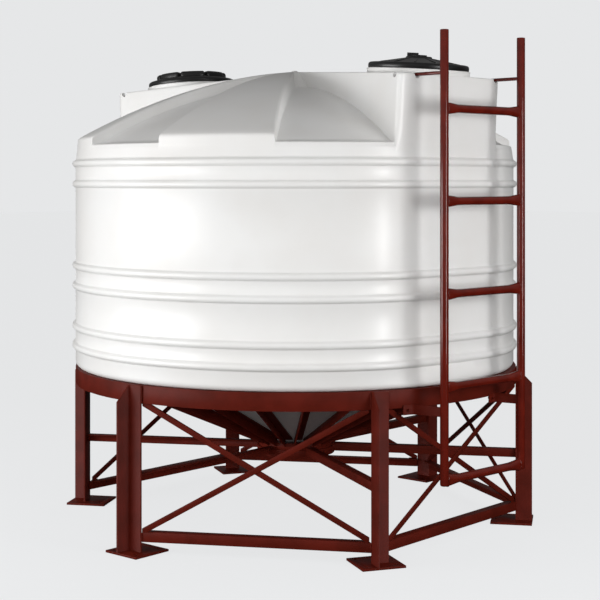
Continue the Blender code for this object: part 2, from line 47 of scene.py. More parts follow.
AXIS_Y = 0.0564583
CAMERA_TURN = math.radians(-44.0)
CAMERA_DISTANCE = 7.330
CAMERA_HEIGHT = 1.667
SENSOR_WIDTH = 36.0
LENS = 87.0
LENS_SHIFT = (0.0070, -0.1987)


def nothing_selected():
    """Leaves edit mode and deselects everything, before an operator is used."""
    if bpy.context.mode != "OBJECT":
        bpy.ops.object.mode_set(mode="OBJECT")
    bpy.ops.object.select_all(action="DESELECT")


nothing_selected()
camera_x = CAMERA_DISTANCE * math.sin(CAMERA_TURN)
camera_y = AXIS_Y - CAMERA_DISTANCE * math.cos(CAMERA_TURN)
bpy.ops.object.camera_add(location=(camera_x, camera_y, CAMERA_HEIGHT),
                          rotation=(math.pi / 2.0, 0.0, CAMERA_TURN))
camera = bpy.context.object
camera.name = "camera"
camera.data.sensor_width = SENSOR_WIDTH
camera.data.lens = LENS
camera.data.shift_x, camera.data.shift_y = LENS_SHIFT
bpy.context.scene.camera = camera


# The studio is a seamless pale grey floor and backdrop in even light, with large soft boxes that
# leave tall pale reflections on the satin wall. Nothing here belongs to the tank.

FLOOR_SIZE = 120.0
BACKDROP = "#E6E7E8"
AIM_HEIGHT = 1.5
BRIGHT_OFFSET = 0.61

def linear(code):
    """Linear colour from an sRGB hex code."""
    channels = [int(code[i:i + 2], 16) / 255.0 for i in (1, 3, 5)]
    curved = [c / 12.92 if c <= 0.04045 else ((c + 0.055) / 1.055) ** 2.4 for c in channels]
    return (*curved, 1.0)


def add_node(tree, kind, inputs=None, **settings):
    """Adds a node with its settings; an input is a value, or the socket that feeds it."""
    node = tree.nodes.new(kind)
    for key, value in settings.items():
        setattr(node, key, value)
    for key, value in (inputs or {}).items():
        if isinstance(value, bpy.types.NodeSocket):
            tree.links.new(value, node.inputs[key])
        else:
            node.inputs[key].default_value = value
    return node


def new_material(name):
    """A material with its node tree and its shader."""
    material = bpy.data.materials.new(name)
    material.use_nodes = True
    return material, material.node_tree, material.node_tree.nodes["Principled BSDF"]


def soft_box(name, turn, distance, height, size, watts, lights=True, mirrored=True):
    """A soft box by its turn to the right of the camera; it can light, be mirrored, or both."""
    turn = CAMERA_TURN + math.radians(turn)
    place = Vector((distance * math.sin(turn), AXIS_Y - distance * math.cos(turn), height))
    bpy.ops.object.light_add(type="AREA", location=place)
    lamp = bpy.context.object
    lamp.name = name
    aim = Vector((0.0, AXIS_Y, AIM_HEIGHT)) - place
    lamp.rotation_euler = aim.to_track_quat("-Z", "Y").to_euler()
    lamp.data.shape = "RECTANGLE"
    lamp.data.size, lamp.data.size_y = size
    lamp.data.energy = watts
    lamp.visible_diffuse = lights
    lamp.visible_glossy = mirrored


nothing_selected()
bpy.ops.mesh.primitive_plane_add(size=FLOOR_SIZE, location=(0.0, 0.0, 0.0))
floor = bpy.context.object
floor.name = "studio_floor"

# Matt floor paint hardly mirrors. It glows as pale as the backdrop, so that no edge shows where
# the two meet, and only a weak shade of the lamps is left on it.
floor_paint, tree, shader = new_material("matt pale grey floor paint")
shader.inputs["Base Color"].default_value = linear("#5A5B5C")
shader.inputs["Roughness"].default_value = 0.9
shader.inputs["Specular IOR Level"].default_value = 0.1
shader.inputs["Emission Color"].default_value = linear(BACKDROP)
shader.inputs["Emission Strength"].default_value = 0.94
floor.data.materials.append(floor_paint)
floor.visible_diffuse = False
floor.visible_glossy = False

# The room is brighter to the camera's left than on the other side, and dim below the level of
# the floor. The camera itself sees only the even backdrop.
world = bpy.data.worlds.new("studio")
bpy.context.scene.world = world
world.use_nodes = True
tree = world.node_tree
tree.nodes.clear()
ray = add_node(tree, "ShaderNodeLightPath")
heading = add_node(tree, "ShaderNodeTexCoord").outputs["Generated"]
height = add_node(tree, "ShaderNodeSeparateXYZ", {"Vector": heading}).outputs["Z"]
bright_turn = CAMERA_TURN - BRIGHT_OFFSET
bright_side = (math.sin(bright_turn), -math.cos(bright_turn), 0.0)
facing = add_node(tree, "ShaderNodeVectorMath", {0: heading, 1: bright_side},
                  operation="DOT_PRODUCT").outputs["Value"]
walls = add_node(tree, "ShaderNodeMapRange",
                 {"Value": facing, "From Min": -0.40, "From Max": 0.60,
                  "To Min": 0.10, "To Max": 0.40})
upward = add_node(tree, "ShaderNodeMapRange",
                  {"Value": height, "From Min": 0.05, "From Max": 0.75})
above = add_node(tree, "ShaderNodeMix", {"Factor": upward.outputs["Result"],
                                         "A": walls.outputs["Result"], "B": 0.28})
below = add_node(tree, "ShaderNodeMapRange",
                 {"Value": height, "From Min": -0.14, "From Max": -0.01,
                  "To Min": 0.16, "To Max": 1.0})
room = add_node(tree, "ShaderNodeMath", {0: above.outputs["Result"], 1: below.outputs["Result"]},
                operation="MULTIPLY")
lit = add_node(tree, "ShaderNodeBackground", {"Color": (1.0, 0.99, 0.98, 1.0),
                                              "Strength": room.outputs["Value"]})
seen = add_node(tree, "ShaderNodeBackground", {"Color": linear(BACKDROP), "Strength": 1.0})
mixed = add_node(tree, "ShaderNodeMixShader", {0: ray.outputs["Is Camera Ray"],
                                               1: lit.outputs["Background"],
                                               2: seen.outputs["Background"]})
add_node(tree, "ShaderNodeOutputWorld", {"Surface": mixed.outputs["Shader"]})
bpy.context.scene.view_settings.view_transform = "Standard"

soft_box("wide_left", turn=-65.0, distance=5.5, height=1.15, size=(4.2, 2.2), watts=200.0)
soft_box("key_right", turn=45.0, distance=4.6, height=1.6, size=(1.9, 1.6), watts=80.0,
         mirrored=False)
soft_box("line_right", turn=45.0, distance=6.0, height=1.5, size=(0.8, 3.0), watts=88.0,
         lights=False)
soft_box("front_fill", turn=-8.0, distance=7.0, height=1.8, size=(7.0, 2.4), watts=133.0,
         mirrored=False)


# The shell is one rotational moulding of white polyethylene about 9 mm thick: a ribbed round
# wall on a cone, flattened under the two manhole boxes. It is satin, with a faint orange peel.

TANK_TURN = math.radians(-1.5)
TANK_AXIS = Vector((-0.0043, AXIS_Y + 0.0042, 0.0))
WALL_RADIUS = 1.094
PANEL_DISTANCE = 1.049
PANEL_BLEND = 0.045
PANEL_REACH = math.radians(45.0)
SEAT_HEIGHT = 0.7543
CONE_SECTION = ((0.0, 0.302), (0.056, 0.302), (0.060, 0.306), (0.060, 0.345), (1.010, SEAT_HEIGHT))
RIB_CENTRES = (0.8615, 0.9565, 1.1545, 1.2525, 1.6520, 1.7505)
RIB_SECTION = ((0.0, -0.0215), (0.0012, -0.0190), (0.0040, -0.0165), (0.0085, -0.0140),
               (0.0125, -0.0110), (0.0152, -0.0065), (0.0160, 0.0), (0.0152, 0.0065),
               (0.0125, 0.0110), (0.0085, 0.0140), (0.0040, 0.0165), (0.0012, 0.0190),
               (0.0, 0.0215))
CORNER_RADIUS = 0.030
CORNER_STEP = math.radians(15.0)
WALL_STEPS = 192
MERGE_DISTANCE = 0.00002


def smooth_min(first, second, width):
    """The lesser of two values, with a rounded change from one to the other."""
    overlap = max(width - abs(first - second), 0.0) / width
    return min(first, second) - overlap * overlap * width / 4.0


def eased(value, low, high):
    """Share from 0 to 1 between two values, which starts and ends gently."""
    share = min(max((value - low) / (high - low), 0.0), 1.0)
    return share * share * (3.0 - 2.0 * share)


def from_manhole(turn):
    """Turn from the nearer of the two manholes."""
    return abs((turn + math.pi / 2.0) % math.pi - math.pi / 2.0)


def wall_plan(turn):
    """Radius of the wall by the turn from the front manhole: a circle with two flats."""
    nearest = from_manhole(turn)
    if nearest > PANEL_REACH:
        return WALL_RADIUS
    return smooth_min(WALL_RADIUS, PANEL_DISTANCE / math.cos(nearest), PANEL_BLEND)


def turned_piece(name, section, steps, place=(0.0, AXIS_Y, 0.0)):
    """Draws a section point by point in the XZ plane and spins it about its upright axis."""
    nothing_selected()
    bpy.ops.mesh.primitive_plane_add(size=0.001, location=place)
    piece = bpy.context.object
    piece.name = name
    piece.data.name = name
    bpy.ops.object.mode_set(mode="EDIT")
    bpy.ops.mesh.merge(type="CENTER")
    here = Vector((0.0, 0.0, 0.0))
    for number, (radius, height) in enumerate(section):
        step = Vector((radius, 0.0, height)) - here
        if number == 0:
            bpy.ops.transform.translate(value=step)
        else:
            bpy.ops.mesh.extrude_region_move(TRANSFORM_OT_translate={"value": step})
        here += step
    bpy.ops.mesh.select_all(action="SELECT")
    bpy.ops.mesh.spin(steps=steps, angle=2.0 * math.pi, center=place, axis=(0.0, 0.0, 1.0))
    bpy.ops.mesh.select_all(action="SELECT")
    bpy.ops.mesh.remove_doubles(threshold=MERGE_DISTANCE)
    bpy.ops.mesh.normals_make_consistent(inside=False)
    bpy.ops.object.mode_set(mode="OBJECT")
    bpy.ops.object.transform_apply(location=True, rotation=True, scale=True)
    return piece


def smooth_by_angle(piece, degrees):
    """Shades a piece smooth, apart from edges sharper than an angle."""
    nothing_selected()
    piece.select_set(True)
    bpy.context.view_layer.objects.active = piece
    bpy.ops.object.shade_smooth_by_angle(angle=math.radians(degrees))


def dressed(piece, material, nodes=()):
    """Gives a finished piece its material and says what it rides on and stands for."""
    piece.data.materials.clear()
    piece.data.materials.append(material)
    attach(piece, "root")
    if nodes:
        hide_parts(*nodes)


# Moulded polyethylene is waxy: light spreads softly on its white, and lamps show as broad pale
# bands. Its white drifts a little over 300 mm. The mould leaves an orange peel of 3 mm, drawn at
# 6 mm so that it shows.
polyethylene, tree, shader = new_material("rotationally moulded polyethylene")
shader.inputs["Roughness"].default_value = 0.32
shader.inputs["IOR"].default_value = 1.51
where = add_node(tree, "ShaderNodeTexCoord").outputs["Object"]
cloud = add_node(tree, "ShaderNodeTexNoise", {"Vector": where, "Scale": 3.0, "Detail": 3.0})
tone = add_node(tree, "ShaderNodeValToRGB", {"Fac": cloud.outputs["Fac"]})
tone.color_ramp.elements[0].position = 0.35
tone.color_ramp.elements[0].color = linear("#E9E8E6")
tone.color_ramp.elements[1].position = 0.65
tone.color_ramp.elements[1].color = linear("#EDEDEC")
tree.links.new(tone.outputs["Color"], shader.inputs["Base Color"])
peel = add_node(tree, "ShaderNodeTexNoise", {"Vector": where, "Scale": 160.0, "Detail": 2.0})
bump = add_node(tree, "ShaderNodeBump", {"Height": peel.outputs["Fac"], "Strength": 0.12,
                                         "Distance": 0.0006})
tree.links.new(bump.outputs["Normal"], shader.inputs["Normal"])

section = list(CONE_SECTION)
corner_edge = WALL_RADIUS - CORNER_RADIUS
for step in range(7):
    angle = CORNER_STEP * step
    section.append((corner_edge + CORNER_RADIUS * math.sin(angle),
                    SEAT_HEIGHT + CORNER_RADIUS * (1.0 - math.cos(angle))))
for centre in RIB_CENTRES:
    section += [(WALL_RADIUS + out, centre + up) for out, up in RIB_SECTION]
section.append((0.0, section[-1][1]))
wall = turned_piece("tank_wall", section, WALL_STEPS)
for vertex in wall.data.vertices:
    x = vertex.co.x
    y = vertex.co.y - AXIS_Y
    radius = math.hypot(x, y)
    if vertex.co.z > SEAT_HEIGHT - 0.001:
        vertex.co.x += TANK_AXIS.x
        vertex.co.y += TANK_AXIS.y - AXIS_Y
    if radius > 1.0 and vertex.co.z > SEAT_HEIGHT:
        flat = wall_plan(math.atan2(x, -y) - TANK_TURN) - WALL_RADIUS
        flat *= eased(vertex.co.z, SEAT_HEIGHT, SEAT_HEIGHT + 2.0 * CORNER_RADIUS)
        vertex.co.x += x / radius * flat
        vertex.co.y += y / radius * flat
smooth_by_angle(wall, 42.0)
dressed(wall, polyethylene,
        ("cone_bottom", "wall_panel_front", "wall_panel_back", "wall_right_front",
         "wall_right_back", "wall_left_front", "wall_left_back"))


# The roof is the top of the same moulding: a low dome whose sectors are raised and sunk by
# turns to stiffen it, round a crown with a small nub. The tank sits slightly turned on its ring.

BOUNDARIES = tuple(math.radians(turn) for turn in (47.0, 76.2, 103.8, 133.0))
DOME_TOP = 2.135
DOME_BEND = 3.735
WEDGE_TOP = 2.217
WEDGE_FALL = 0.069
WEDGE_BEND = 0.230
NUB_TOP = 2.2228
SECTOR_STEPS = 9
UNDER_BOX = tuple(math.radians(turn) for turn in (0.0, 4.0, 8.0, 12.0, 15.0))
SIDE_ROWS = ((-1.0, 1.0), (-0.7, 0.985), (-0.42, 0.948), (-0.18, 0.895), (0.0, 0.835),
             (0.16, 0.72), (0.34, 0.54), (0.52, 0.36), (0.68, 0.22), (0.84, 0.12), (1.05, 0.052),
             (1.35, 0.014), (1.75, 0.0))
SIDE_FOOT = ((0.0, 0.022), (0.45, 0.020), (0.60, 0.0145), (0.735, 0.0095), (0.86, 0.006),
             (1.045, 0.004), (1.079, 0.0015), (1.2, 0.0010))
SIDE_HEAD = (0.017, 0.014)
SIDE_HEAD_NARROWS = (0.94, 1.079)
SIDE_LIMITS = (0.09, 0.11)
CROWN_ROWS = ((0.006, 1.070), (0.012, 1.062), (0.0155, 1.035), (0.0175, 1.0), (0.035, 1.0),
              (0.042, 0.97), (0.060, 0.835), (0.080, 0.685), (0.100, 0.535), (0.120, 0.385),
              (0.140, 0.240), (0.158, 0.110), (0.168, 0.045), (0.178, 0.012), (0.190, 0.0))
ROOF_ROWS = (0.24, 0.30, 0.37, 0.45, 0.53, 0.61, 0.69, 0.77, 0.85, 0.91, 0.96, 1.00, 1.03)
RIM_ROWS = ((1.050, 1.8398, 0.0), (1.072, 1.8385, 0.0006), (1.0795, 1.8366, 0.0022),
            (1.0830, 1.8328, 0.0052), (1.0840, 1.8270, 0.0105))
FRONT_STEPS = 5
BAND_BOTTOM = 1.7725
BAND_LEAN = 0.0006
BAND_ROWS = ((1.815, 0.0076), (1.790, 0.0037), (BAND_BOTTOM, BAND_LEAN))
BAND_PLAIN = (math.radians(17.5), math.radians(21.5))


def dome_height(radius):
    """Height of the sunk sectors."""
    return DOME_TOP - radius * radius / DOME_BEND


def wedge_height(radius):
    """Height of the raised sectors."""
    return WEDGE_TOP - WEDGE_FALL * radius - WEDGE_BEND * radius * radius


def on_plan(radius, turn, height):
    """Point by its radius and its turn from the middle of the front manhole box."""
    turn += TANK_TURN
    return Vector((radius * math.sin(turn), -radius * math.cos(turn), height))


def between(rows, place):
    """Value at a place in a table of (place, value) rows."""
    for (first, start), (second, end) in zip(rows, rows[1:]):
        if place <= second:
            return start + (end - start) * max(place - first, 0.0) / (second - first)
    return rows[-1][1]


def band_point(turn, row):
    """Point of the wall above the top rib, which leans in except under the boxes."""
    height, lean = BAND_ROWS[row]
    lean = BAND_LEAN + (lean - BAND_LEAN) * eased(from_manhole(turn), *BAND_PLAIN)
    return on_plan(wall_plan(turn) - lean, turn, height)


def sector_column(turn_at, rise_at):
    """Column of the roof from the crown to the top rib, by its turn and rise above the dome."""
    rows = [(radius, dome_height(radius), wedge_height(radius), share)
            for radius, share in CROWN_ROWS]
    rows += [(radius, dome_height(radius), wedge_height(radius), 0.0) for radius in ROOF_ROWS]
    rows += [(radius, low, wedge_height(radius) - drop, 0.0) for radius, low, drop in RIM_ROWS]
    column = []
    for radius, low, high, crown in rows:
        turn = turn_at(radius)
        reach = high - low
        column.append(on_plan(radius * wall_plan(turn) / WALL_RADIUS, turn,
                              low + max(rise_at(reach), reach * crown)))
    last = column[-1]
    foot = band_point(turn, 0)
    for step in range(1, FRONT_STEPS):
        share = step / FRONT_STEPS
        point = last.lerp(foot, eased(share, 0.0, 1.0))
        point.z = last.z + (foot.z - last.z) * share
        column.append(point)
    return column + [foot, band_point(turn, 1), band_point(turn, 2)]


def side_offset(radius, place):
    """Distance of a point of a raised sector's side from its boundary, into the sunk sector."""
    if place > 0.0:
        return place * min(between(SIDE_FOOT, radius), SIDE_LIMITS[0] * radius)
    head = SIDE_HEAD[0] - SIDE_HEAD[1] * eased(radius, *SIDE_HEAD_NARROWS)
    return place * min(head, SIDE_LIMITS[1] * radius)


def sector_side(boundary, raised_after):
    """Columns of the steep side between a sunk and a raised sector."""
    sign = -1.0 if raised_after else 1.0
    columns = []
    for place, rise in SIDE_ROWS:
        columns.append(sector_column(
            lambda radius: boundary + sign * math.asin(side_offset(radius, place) / radius),
            lambda reach: reach * rise))
    return list(reversed(columns)) if raised_after else columns


def sector_inside(first, second, raised):
    """Columns across a sector, between its two sides."""
    place = SIDE_ROWS[0][0] if raised else SIDE_ROWS[-1][0]
    columns = []
    for step in range(1, SECTOR_STEPS):
        share = step / SECTOR_STEPS

        def turn_at(radius):
            near = abs(math.asin(side_offset(radius, place) / radius))
            start = first + (near if first in BOUNDARIES else 0.0)
            end = second - (near if second in BOUNDARIES else 0.0)
            return start + (end - start) * share

        columns.append(sector_column(turn_at, lambda reach: reach if raised else 0.0))
    return columns


def plain_column(turn):
    """Column of the bare dome, where a box will cover it."""
    return sector_column(lambda radius: turn, lambda reach: 0.0)


edges = [UNDER_BOX[-1], *BOUNDARIES, math.pi - UNDER_BOX[-1]]
right_side = [plain_column(turn) for turn in UNDER_BOX]
for number, (first, second) in enumerate(zip(edges, edges[1:])):
    raised = number % 2 == 1
    right_side += sector_inside(first, second, raised)
    if number < 4:
        right_side += sector_side(second, not raised)
right_side += [plain_column(math.pi - turn) for turn in reversed(UNDER_BOX)]
half_turn = Matrix.Rotation(math.pi, 3, "Z")
left_side = [[half_turn @ point for point in column] for column in right_side]
columns_round = right_side[:-1] + left_side[:-1]

roof_shape = bmesh.new()
pole = roof_shape.verts.new(TANK_AXIS + Vector((0.0, 0.0, NUB_TOP)))
base = roof_shape.verts.new(TANK_AXIS + Vector((0.0, 0.0, BAND_BOTTOM)))
grid = [[roof_shape.verts.new(TANK_AXIS + point) for point in column] for column in columns_round]
for left, right in zip(grid, grid[1:] + grid[:1]):
    roof_shape.faces.new((pole, left[0], right[0]))
    for row in range(len(left) - 1):
        roof_shape.faces.new((left[row], left[row + 1], right[row + 1], right[row]))
    roof_shape.faces.new((left[-1], base, right[-1]))
bmesh.ops.remove_doubles(roof_shape, verts=roof_shape.verts, dist=MERGE_DISTANCE)
bmesh.ops.recalc_face_normals(roof_shape, faces=roof_shape.faces)
roof_mesh = bpy.data.meshes.new("tank_roof")
roof_shape.to_mesh(roof_mesh)
roof_shape.free()
roof = bpy.data.objects.new("tank_roof", roof_mesh)
bpy.context.scene.collection.objects.link(roof)


# The two manhole boxes rise out of the roof as part of the moulding, wide at the wall and
# pointed at the crown. Their ends lean out a little and run down into the flats of the wall.

BOX_HALF = math.radians(18.0)
BOX_TOP = 2.217
BOX_FALL = 0.0722
BOX_END = PANEL_DISTANCE + 0.018
BOX_POINT = 0.0362
CHEEK_DRAFT = 0.030
DRAFT_FROM = 2.14
CHEEK_STEPS = 12
CORNER_STEPS = 10
END_STEPS = 14
EDGE_ROWS = ((0.0062, 0.0), (0.0036, 0.0006), (0.0018, 0.0022), (0.0005, 0.0062), (0.0, 0.0120))
CORNER_LEGS = (0.030, 0.036)
LOW_ROWS = ((1.950, 1.0), (1.900, 1.0), (1.870, 0.90), (1.850, 0.75), (1.838, 0.60),
            (1.826, 0.55), (1.812, 0.50), (1.800, 0.50), (1.785, 0.50))
END_AT = ((1.785, 1.0400), (1.800, 1.0465), (1.812, 1.0487), (1.826, 1.0490), (1.838, 1.0494),
          (2.126, 1.067), (2.3, 1.067))
FREE_OF_WALL = (1.838, 1.90)


def box_top_height(distance):
    """Height of a box's top, which falls from the crown towards the wall."""
    return BOX_TOP - BOX_FALL * distance


def box_outline(end, spread, inset, legs):
    """Plan of a box from its point along one cheek, round the corner and to the middle.

    The end bends like the wall below it, so that the flat of the wall runs up into it.
    """
    along = Vector((math.sin(BOX_HALF), -math.cos(BOX_HALF)))
    out = Vector((math.cos(BOX_HALF), math.sin(BOX_HALF)))

    def end_point(turn):
        radius = wall_plan(turn) * (end - inset) / PANEL_DISTANCE
        return Vector((radius * math.sin(turn), -radius * math.cos(turn)))

    corner_turn = BOX_HALF + math.asin((spread - inset) / end_point(BOX_HALF).length)
    corner = end_point(corner_turn)
    first = corner - along * CORNER_LEGS[0] * legs
    last_turn = corner_turn - CORNER_LEGS[1] * legs / corner.length
    last = end_point(last_turn)
    point = along * BOX_POINT + out * (spread - inset)
    plan = [point.lerp(first, step / CHEEK_STEPS) for step in range(CHEEK_STEPS)]
    for step in range(CORNER_STEPS):
        share = step / CORNER_STEPS
        plan.append(first.lerp(corner, share).lerp(corner.lerp(last, share), share))
    for step in range(END_STEPS + 1):
        plan.append(end_point(last_turn * (1.0 - step / END_STEPS)))
    return plan


def box_loop(end, spread, inset, legs, height_at):
    """A level of a box as points all round it, kept inside the plan of the wall low down."""
    half = box_outline(end, spread, inset, legs)
    loop = []
    for x, y in half + [Vector((-point.x, point.y)) for point in reversed(half[:-1])]:
        height = height_at(-y)
        radius = math.hypot(x, y)
        limit = wall_plan(math.atan2(x, -y)) + 0.0003 + 0.05 * eased(height, *FREE_OF_WALL)
        scale = min(1.0, limit / radius)
        loop.append(Vector((x * scale, y * scale, height)))
    return loop


def manhole_box(name, turn):
    """A whole box as a closed piece, from its rounded top edge down into the wall."""
    levels = [box_loop(BOX_END, 0.0, inset, 1.0, lambda distance: box_top_height(distance) - drop)
              for inset, drop in EDGE_ROWS]
    for share in (0.25, 0.5, 0.75):
        def height_at(distance):
            top = box_top_height(distance) - EDGE_ROWS[-1][1]
            return top + (LOW_ROWS[0][0] - top) * share

        height = height_at(BOX_END)
        levels.append(box_loop(between(END_AT, height), CHEEK_DRAFT * (DRAFT_FROM - height), 0.0,
                               1.0, height_at))
    for height, legs in LOW_ROWS:
        levels.append(box_loop(between(END_AT, height), CHEEK_DRAFT * (DRAFT_FROM - height), 0.0,
                               legs, lambda distance: height))
    shape = bmesh.new()
    place = Matrix.Translation(TANK_AXIS) @ Matrix.Rotation(turn + TANK_TURN, 4, "Z")
    rows = [[shape.verts.new(place @ point) for point in level] for level in levels]
    shape.faces.new(rows[0])
    shape.faces.new(rows[-1])
    for upper, lower in zip(rows, rows[1:]):
        for number in range(len(upper)):
            after = (number + 1) % len(upper)
            shape.faces.new((upper[number], upper[after], lower[after], lower[number]))
    bmesh.ops.recalc_face_normals(shape, faces=shape.faces)
    mesh = bpy.data.meshes.new(name)
    shape.to_mesh(mesh)
    shape.free()
    box = bpy.data.objects.new(name, mesh)
    bpy.context.scene.collection.objects.link(box)
    return box


def combined(piece, other, operation):
    """Applies a Boolean of another piece, which is then removed."""
    nothing_selected()
    bpy.context.view_layer.objects.active = piece
    piece.select_set(True)
    cut = piece.modifiers.new("cut", "BOOLEAN")
    cut.object = other
    cut.operation = operation
    bpy.ops.object.modifier_apply(modifier="cut")
    bpy.data.objects.remove(other, do_unlink=True)


for name, turn in (("manhole_box_front", 0.0), ("manhole_box_back", math.pi)):
    combined(roof, manhole_box(name, turn), "UNION")

NOTCH_RADIUS = 0.0155
NOTCH_LENGTH = 0.094
HOOK_X = 0.2708
HOOK_HEIGHT = 2.136
CHEEK_NOTCH = 1.060
CHEEK_NOTCH_DROP = 0.007
NOTCH_ROUND = 0.005


def notch(x, y, height, turn):
    """Cuts a rounded slot for a ladder hook into the top edge of a box."""
    nothing_selected()
    bpy.ops.mesh.primitive_cylinder_add(vertices=32, radius=NOTCH_RADIUS, depth=NOTCH_LENGTH,
                                        location=(x, y, height),
                                        rotation=(math.pi / 2.0, 0.0, turn))
    cutter = bpy.context.object
    bpy.ops.object.mode_set(mode="EDIT")
    bpy.ops.mesh.select_all(action="DESELECT")
    shape = bmesh.from_edit_mesh(cutter.data)
    for face in shape.faces:
        face.select_set(len(face.verts) > 4)
    bmesh.update_edit_mesh(cutter.data)
    bpy.ops.mesh.bevel(offset=NOTCH_ROUND, segments=4, affect="EDGES")
    bpy.ops.object.mode_set(mode="OBJECT")
    combined(roof, cutter, "DIFFERENCE")


for side in (-1.0, 1.0):
    for end in (-1.0, 1.0):
        notch(side * HOOK_X, AXIS_Y + end * BOX_END, HOOK_HEIGHT, 0.0)
        turn = side * BOX_HALF + (math.pi if end > 0.0 else 0.0)
        cheek = TANK_AXIS + on_plan(CHEEK_NOTCH, turn, 0.0)
        height = box_top_height(CHEEK_NOTCH * math.cos(BOX_HALF)) - CHEEK_NOTCH_DROP
        notch(cheek.x, cheek.y, height, turn + TANK_TURN + math.pi / 2.0)
smooth_by_angle(roof, 38.0)
dressed(roof, polyethylene,
        ("roof_left", "roof_right", "roof_crown", "manhole_box_front", "manhole_box_back"))


# Each box carries a round neck, moulded in one with it: a low drum with a rolled lip that the
# lid screws over. The same piece stands at the front and at the back.

MANHOLE_DISTANCE = 0.828
MANHOLE_TURN = TANK_TURN / 2.0
ROUND_STEPS = 96
NECK_SECTION = ((0.200, -0.004), (0.2404, -0.004), (0.2402, 0.0003), (0.2390, 0.0016),
                (0.2380, 0.0055), (0.2376, 0.0125), (0.2380, 0.0140), (0.2392, 0.0155),
                (0.2399, 0.0185), (0.2392, 0.0215), (0.2372, 0.0235), (0.2335, 0.0245),
                (0.2080, 0.0245), (0.2055, 0.0230), (0.2050, 0.0200), (0.200, -0.004))


def put_on_box(piece, back):
    """Moves a piece modelled about the manhole's own axis onto the sloping top of its box."""
    about = Matrix.Rotation(MANHOLE_TURN + (math.pi if back else 0.0), 4, "Z")
    place = Matrix.Translation((0.0, -MANHOLE_DISTANCE, box_top_height(MANHOLE_DISTANCE)))
    lean = Matrix.Rotation(math.atan(BOX_FALL), 4, "X")
    piece.matrix_world = Matrix.Translation((0.0, AXIS_Y, 0.0)) @ about @ place @ lean
    nothing_selected()
    piece.select_set(True)
    bpy.context.view_layer.objects.active = piece
    bpy.ops.object.transform_apply(location=True, rotation=True, scale=True)


for side, back in (("front", False), ("back", True)):
    neck = turned_piece("manhole_neck_" + side, NECK_SECTION, ROUND_STEPS, (0.0, 0.0, 0.0))
    put_on_box(neck, back)
    smooth_by_angle(neck, 38.0)
    dressed(neck, polyethylene, ("manhole_top_" + side,))


# The lids are injection moulded in black polyethylene, and fine-grained all over. The front one
# is a shallow cone with a vent hub; the back one has a ring of eight grips on a raised disc.

# Black polyethylene has a soft grey sheen and a fine moulded grain, here of about 1 mm. Dust
# lies on it in patches of some 40 mm, which turn the black a little grey.
black, tree, shader = new_material("injection moulded black polyethylene")
shader.inputs["Roughness"].default_value = 0.34
shader.inputs["IOR"].default_value = 1.51
where = add_node(tree, "ShaderNodeTexCoord").outputs["Object"]
dust = add_node(tree, "ShaderNodeTexNoise", {"Vector": where, "Scale": 26.0, "Detail": 6.0})
tone = add_node(tree, "ShaderNodeValToRGB", {"Fac": dust.outputs["Fac"]})
tone.color_ramp.elements[0].position = 0.40
tone.color_ramp.elements[0].color = linear("#0B0B0C")
tone.color_ramp.elements[1].position = 0.75
tone.color_ramp.elements[1].color = linear("#171717")
tree.links.new(tone.outputs["Color"], shader.inputs["Base Color"])
grain = add_node(tree, "ShaderNodeTexNoise", {"Vector": where, "Scale": 900.0, "Detail": 2.0})
bump = add_node(tree, "ShaderNodeBump", {"Height": grain.outputs["Fac"], "Strength": 0.25,
                                         "Distance": 0.0004})
tree.links.new(bump.outputs["Normal"], shader.inputs["Normal"])

LID_RIM = ((0.0, 0.0255), (0.2290, 0.0255), (0.2320, 0.0260), (0.2334, 0.0285),
           (0.2336, 0.0385), (0.2326, 0.0440), (0.2300, 0.0485), (0.2255, 0.0513),
           (0.2190, 0.0525), (0.2130, 0.0515), (0.2095, 0.0490), (0.2070, 0.0478))
FRONT_LID = LID_RIM + ((0.2030, 0.0482), (0.1990, 0.0500), (0.1940, 0.0520), (0.1500, 0.0605),
                       (0.1000, 0.0705), (0.0640, 0.0775), (0.0615, 0.0800), (0.0600, 0.0835),
                       (0.0570, 0.0860), (0.0, 0.0865))
BACK_LID = LID_RIM + ((0.2010, 0.0480), (0.1960, 0.0500), (0.1920, 0.0560), (0.1880, 0.0610),
                      (0.1840, 0.0635), (0.1250, 0.0680), (0.0500, 0.0700), (0.0, 0.0705))
RIB_INNER, RIB_OUTER = 0.066, 0.192
RIB_TOP_FROM = 0.050
RIB_RISE = 0.0225


def dressed_lid(piece, back):
    """Puts a finished lid on its neck."""
    put_on_box(piece, back)
    smooth_by_angle(piece, 35.0)
    node = "manhole_lid_back" if back else "manhole_lid_front"
    dressed(piece, black, (node,))


